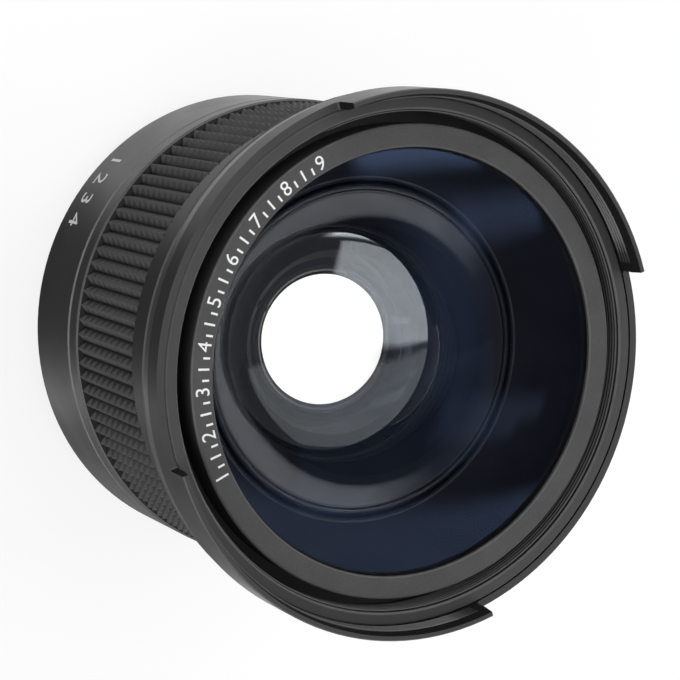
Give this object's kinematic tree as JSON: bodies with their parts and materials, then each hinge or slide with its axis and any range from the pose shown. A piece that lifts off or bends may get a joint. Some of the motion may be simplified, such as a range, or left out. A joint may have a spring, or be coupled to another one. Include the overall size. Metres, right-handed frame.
{
  "type": "fisheye conversion lens",
  "caption": "Screw-on fisheye conversion lens with a petal hood, pyramid rubber grip, large domed front glass and a threaded rear unit that unscrews from the barrel.",
  "frame": {"origin": "centre of the end of the rear mounting thread, on which the lens stands", "axes": "+Z along the optical axis towards the front glass, with the two hood petals on +Y and -Y"},
  "size_m": [0.0884, 0.0884, 0.0695],
  "materials": {
    "black_anodised": "satin black anodised",
    "ring_anodised": "fine matt black anodised",
    "blackened_metal": "flat anti-reflection black",
    "grip_rubber": "moulded pyramids, matt",
    "gasket_rubber": "smooth matt",
    "coated_glass": "polished, dark blue coating",
    "shim_brass": "rolled sheet"
  },
  "bodies": {
    "front_unit": {"front_barrel": "black_anodised", "petal_hood": "black_anodised", "rubber_grip": "grip_rubber", "coupling_ring": "black_anodised", "lens_cell": "blackened_metal", "name_ring": "ring_anodised", "front_gasket": "gasket_rubber", "front_element": "coated_glass", "seat_gasket": "gasket_rubber", "field_stop": "blackened_metal", "second_element": "coated_glass", "second_retainer": "blackened_metal", "baffle_cone": "blackened_metal"},
    "shim": {"joint_shim": "shim_brass"},
    "rear_unit": {"rear_housing": "black_anodised", "rear_seat_ring": "blackened_metal", "rear_flint": "coated_glass", "rear_crown": "coated_glass", "rear_retainer": "blackened_metal", "mount_ring": "black_anodised"}
  },
  "joints": [
    {"name": "front_unit_turn", "type": "hinge", "parent": "rear_unit", "child": "shim", "pos_m": [0, 0, 0.0194], "axis": [0, 0, 1], "range_deg": [0, 2160]},
    {"name": "front_unit_travel", "type": "slide", "parent": "shim", "child": "front_unit", "axis": [0, 0, 1], "range_m": [0, 0.00451]}
  ],
  "couplings": [
    {"joint": "front_unit_travel", "follows": "front_unit_turn", "m_per_rad": 0.00011937}
  ]
}
